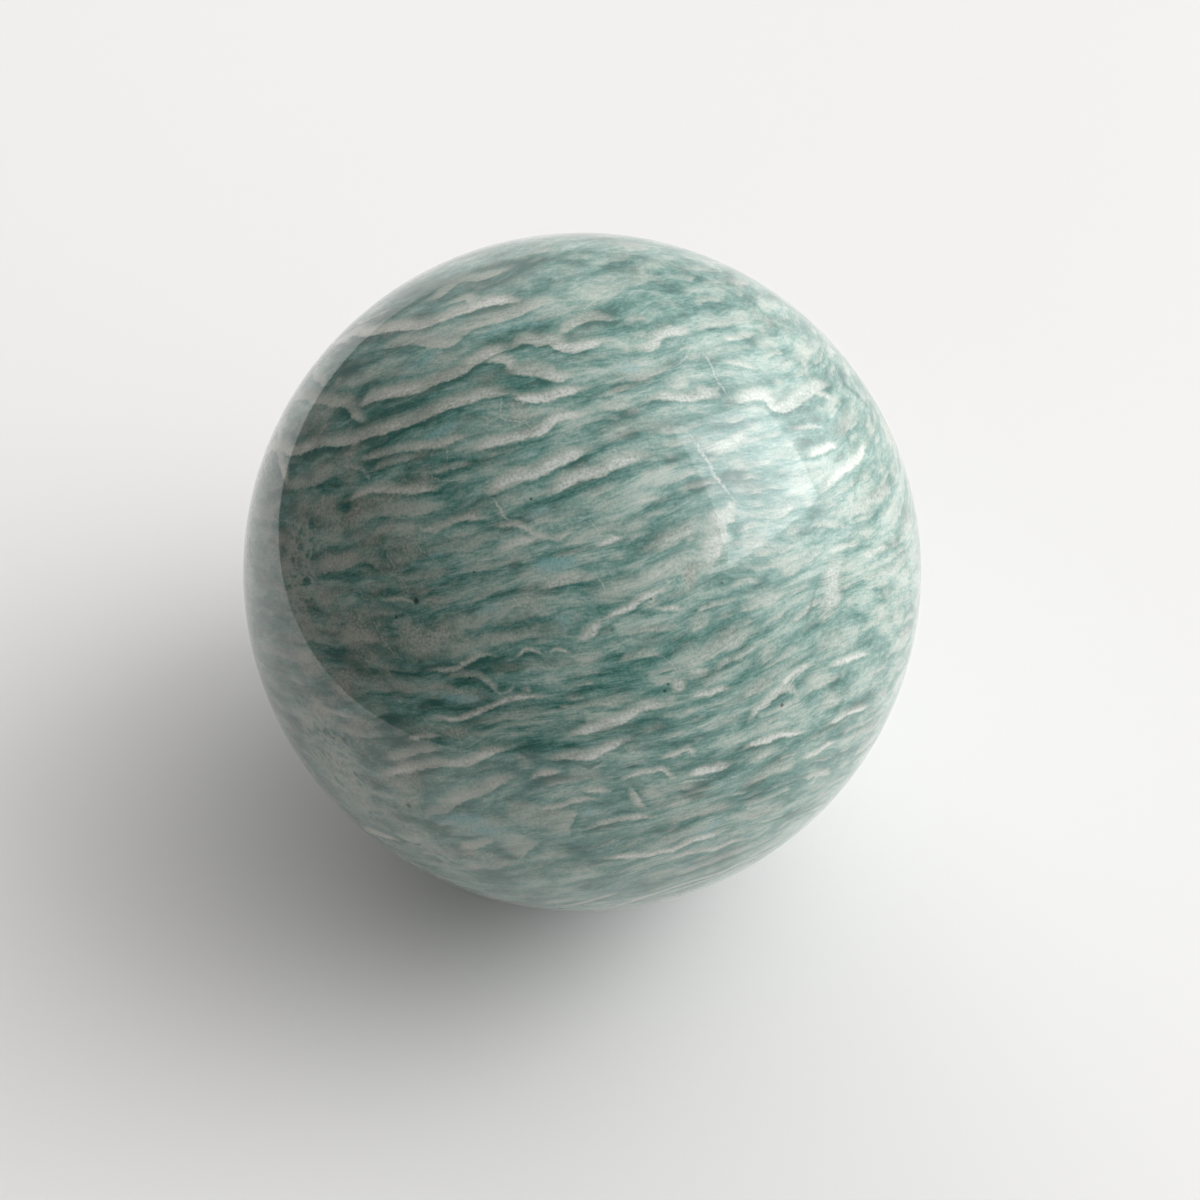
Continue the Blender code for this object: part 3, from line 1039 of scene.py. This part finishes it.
def streak_masks(graph, name, textures):
    """How much pale band and how much dark line one layer of streaks puts at a point."""
    outputs = graph.attribute(name)
    above, width, pale = graph.split(outputs["Vector"])
    edge = graph.add(above, textures.ragged)
    over = graph.step(edge, -0.16, 0.2)
    part = graph.add(graph.math("DIVIDE", edge, width), textures.fibre)
    fade = graph.step(part, 0.45, 1.6, 1.0, 0.0)
    under = graph.times(graph.step(edge, -1.1, -0.15), graph.step(edge, -0.15, 0.1, 1.0, 0.0))
    under = graph.times(under, under)
    return graph.times(graph.times(over, fade), pale), graph.times(under, outputs["Alpha"])


def all_streaks(graph, textures):
    """The palest band and the darkest line of all layers, the bands fainter here and there."""
    band = 0.0
    dark = 0.0
    for number in range(STREAK_LAYERS):
        layer_band, layer_dark = streak_masks(graph, f"streaks_{number}", textures)
        band = graph.math("MAXIMUM", layer_band, band)
        dark = graph.math("MAXIMUM", layer_dark, dark)
    unevenness = graph.math("MULTIPLY_ADD", textures.quick, 0.3, textures.strands)
    uneven = graph.step(unevenness, -0.25, 0.1, 0.75, 1.1)
    return graph.times(band, uneven), dark


def broken_lines(graph, textures, spacing, bending, sizes):
    """Thin broken pale lines, level along the grain, each with a sharper lower edge."""
    bend = graph.noise(graph.stretched(textures.place, sizes), 1.0, 2.0, 0.6)
    along, across, through = graph.split(textures.place)
    level = graph.math("DIVIDE", graph.math("MULTIPLY_ADD", bend, bending, across), spacing)
    line = graph.times(graph.math("FLOOR", level), LINE_STRIDE)
    part = graph.math("FRACT", level)
    own = graph.join(graph.times(along, 1 / sizes[0]), line, graph.times(through, 1 / sizes[2]))
    shown = graph.step(graph.noise(own, 1.0, 1.0), -0.1, 0.14)
    profile = graph.times(graph.step(part, 0.0, 0.2), graph.step(part, 0.2, 0.9, 1.0, 0.0))
    return graph.times(profile, shown)


def lines_and_net(graph, textures):
    """The thin lines, where the streaks leave room, and the net of the mottled places."""
    wide_share = graph.math("MULTIPLY_ADD", textures.fine, 0.2, 0.5)
    fine_share = graph.math("MULTIPLY_ADD", textures.fine, 0.4, 0.22)
    lines = graph.math("MAXIMUM", graph.times(broken_lines(graph, textures, *WIDE_LINES), wide_share),
                       graph.times(broken_lines(graph, textures, *FINE_LINES), fine_share))
    room = graph.step(graph.attribute("gap")["Fac"], 0.1, 1.4, 0.25, 1.0)
    ridge = graph.math("ABSOLUTE", graph.noise(graph.stretched(textures.place, NET_SIZES), 1.0, 2.0, 0.5))
    net = graph.times(graph.step(ridge, 0.02, 0.16, 0.6, 0.0),
                      graph.step(graph.attribute("net")["Fac"], 0.0, 0.5))
    return graph.math("MAXIMUM", graph.times(lines, room), net)


def with_hairs(graph, textures, colour):
    """The colour with the hair-thin bright veins and their shadows drawn over it."""
    outputs = graph.attribute("hairs")
    side, width, pale = graph.split(outputs["Vector"])
    edge = graph.math("ABSOLUTE", graph.math("MULTIPLY_ADD", textures.ragged, 0.8, side))
    part = graph.math("DIVIDE", edge, width)
    broken = graph.step(textures.grains, -0.25, 0.2, 0.1, 0.65)
    shade = graph.times(graph.step(part, 0.4, 1.8, 1.0, 0.0), outputs["Alpha"])
    light = graph.times(graph.times(graph.step(part, 0.2, 0.9, 1.0, 0.0), pale), broken)
    return graph.mix(light, graph.mix(shade, colour, DEEP_TEAL), WHITE_GREY)


def with_pit_shade(graph, textures, colour, pits):
    """The colour with painted shade, a dark ragged spot, at each pit, where the mesh has no hollow."""
    surface = graph.node("ShaderNodeTexCoord", {}).outputs["Object"]
    nearest = FAR_MM
    for middle, radius in pits:
        reach = graph.times(graph.vector("DISTANCE", surface, tuple(middle)), 1 / radius)
        nearest = graph.math("MINIMUM", reach, nearest)
    # Each pit's dark spot is painted shade
    hole = graph.step(graph.math("MULTIPLY_ADD", textures.ragged, 1.5, nearest), 0.3, 1.3, 0.85, 0.0)
    return graph.mix(hole, colour, PIT_SHADE)


def stone_material(pits):
    material = bpy.data.materials.new("amazonite")
    material.use_nodes = True
    graph = Graph(material.node_tree)
    textures = Textures(graph)
    patches = graph.attribute("patches")
    deep_field, blue_field, pale_field = graph.split(patches["Vector"])
    band, dark = all_streaks(graph, textures)

    deep = graph.step(graph.add(deep_field, textures.patchy), -0.2, 0.9)
    tone = graph.math("MULTIPLY_ADD", dark, DARK_SHARE, ground_tone(graph, textures))
    tone = graph.math("MULTIPLY_ADD", deep, DEEP_SHARE, tone)
    colour = graph.ramp(tone, GROUND_RAMP)

    blue = graph.step(graph.add(blue_field, textures.patchy), 0.0, 0.6, 0.0, 0.85)
    blue_colour = graph.mix(graph.step(textures.grains, -0.3, 0.1, 0.3, 1.0), TEAL, BLUE_TEAL)
    tan = graph.step(graph.add(patches["Alpha"], textures.patchy), 0.0, 0.6, 0.0, 0.7)
    tan_colour = graph.mix(graph.step(textures.grains, -0.3, 0.3), BROWN_GREY, GREY_TAN)
    colour = graph.mix(tan, graph.mix(blue, colour, blue_colour), tan_colour)

    band = graph.math("MAXIMUM", band, lines_and_net(graph, textures))
    pale_patch = graph.step(graph.add(pale_field, textures.patchy), -0.05, 0.8, 0.0, 0.8)
    band = graph.math("MAXIMUM", band, pale_patch)
    mottled = graph.math("MULTIPLY_ADD", textures.grains, 1.1, 0.84)
    mottled = graph.math("MULTIPLY_ADD", textures.fibre, 0.5, mottled)
    band = graph.math("MINIMUM", graph.times(band, mottled), 1.0)
    white = graph.step(graph.math("MULTIPLY_ADD", textures.fine, 0.4, band), 0.75, 1.3)
    colour = graph.mix(band, colour, graph.mix(white, GREY_TAN, WHITE_GREY))
    colour = with_pit_shade(graph, textures, with_hairs(graph, textures, colour), pits)

    bump = graph.node("ShaderNodeBump", {"Height": textures.fibre, "Distance": 0.00002, "Strength": 0.3})
    shader = graph.node("ShaderNodeBsdfPrincipled", {
        "Base Color": colour,
        "Roughness": 0.5,
        "Normal": bump.outputs[0],
        "Specular IOR Level": 0.25,
        "Coat Weight": 1.0,
        "Coat Roughness": 0.03,
        "Coat IOR": 1.52,
    })
    graph.node("ShaderNodeOutputMaterial", {"Surface": shader.outputs[0]})
    return material


bpy.context.scene.view_settings.view_transform = "Standard"
make_camera()
make_floor()
make_window()
make_world()
stone = make_stone()
stone.data.materials.append(stone_material(named_pits() + hidden_pits()))
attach(stone, "root")
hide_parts(STONE_NODE)
